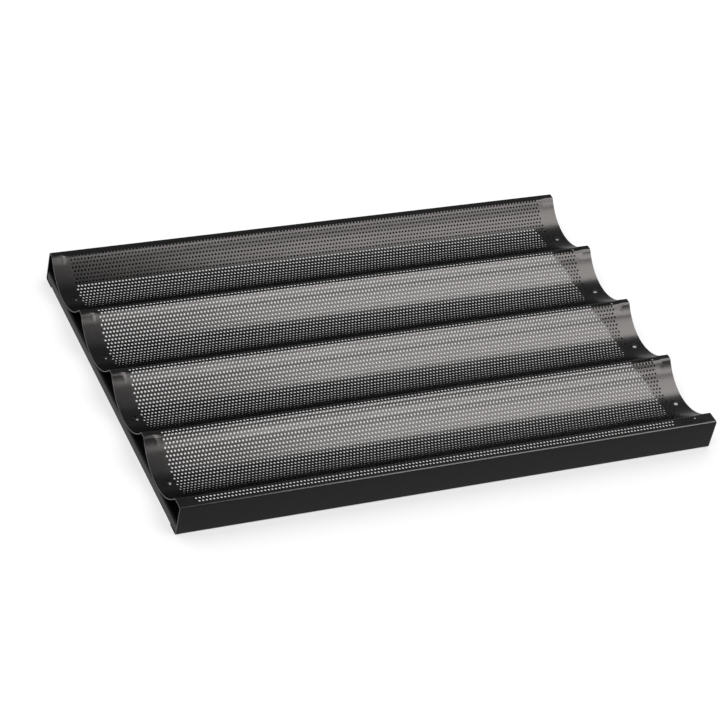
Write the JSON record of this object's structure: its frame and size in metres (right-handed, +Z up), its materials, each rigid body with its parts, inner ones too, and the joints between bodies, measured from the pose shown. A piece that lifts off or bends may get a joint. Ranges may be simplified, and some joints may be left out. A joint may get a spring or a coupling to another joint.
{
  "type": "baguette tray",
  "caption": "Low rectangular baking tray of perforated sheet formed into parallel open-ended rounded troughs, on riveted cross channels.",
  "frame": {"origin": "floor level under the middle of the tray", "axes": "+X along the troughs to the right, +Y across the troughs to the back, +Z up"},
  "size_m": [0.6, 0.4, 0.0355],
  "materials": {
    "coated_sheet": "satin black non-stick coating over aluminium sheet",
    "coated_bar": "satin black coating over folded aluminium",
    "rivet_body": "dark coated rivet",
    "rivet_mandrel": "darkened broken steel"
  },
  "bodies": {
    "root": {"tray_sheet": "coated_sheet", "left_end_bar": "coated_bar", "right_end_bar": "coated_bar", "left_rivets": "rivet_body", "right_rivets": "rivet_body", "left_mandrels": "rivet_mandrel", "right_mandrels": "rivet_mandrel"}
  },
  "joints": []
}
